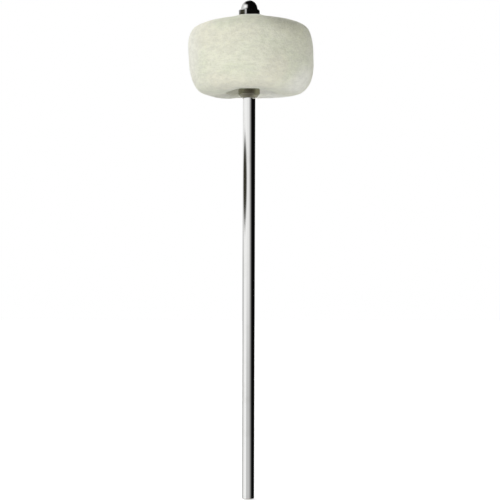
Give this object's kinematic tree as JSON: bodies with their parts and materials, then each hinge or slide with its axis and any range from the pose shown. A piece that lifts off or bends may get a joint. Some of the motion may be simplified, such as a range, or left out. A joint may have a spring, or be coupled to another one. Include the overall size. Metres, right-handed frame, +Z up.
{
  "type": "bass drum beater",
  "caption": "Kick pedal beater: a rounded hard felt head clamped by a domed cap nut on the stud of a straight polished rod.",
  "frame": {"origin": "centre of the rod's lower end face, which is where the pedal's hub takes the rod", "axes": "+Z up along the rod towards the head; -Y is the side that faced the camera; the felt sits 0.9 mm towards +X"},
  "size_m": [0.0627, 0.0624, 0.2505],
  "materials": {
    "shaft_chrome": "polished",
    "cap_chrome": "polished",
    "nut_steel": "satin",
    "washer_steel": "satin",
    "wool_felt": "matte"
  },
  "bodies": {
    "rod": {"shaft": "shaft_chrome", "lower_nut": "nut_steel", "lower_washer": "washer_steel"},
    "head": {"felt_head": "wool_felt"},
    "washer": {"upper_washer": "washer_steel"},
    "nut": {"cap_nut": "cap_chrome"}
  },
  "joints": [
    {"name": "head_turn", "type": "hinge", "parent": "rod", "child": "head", "pos_m": [0, 0, 0.2214], "axis": [0, 0, 1], "continuous": true},
    {"name": "nut_turn", "type": "hinge", "parent": "rod", "child": "washer", "pos_m": [0, 0, 0.2396], "axis": [0, 0, 1], "range_deg": [0, 2700]},
    {"name": "nut_lift", "type": "slide", "parent": "washer", "child": "nut", "axis": [0, 0, 1], "range_m": [0, 0.00595]}
  ],
  "couplings": [
    {"joint": "nut_turn", "follows": "nut_lift", "rad_per_m": 7915.8}
  ]
}
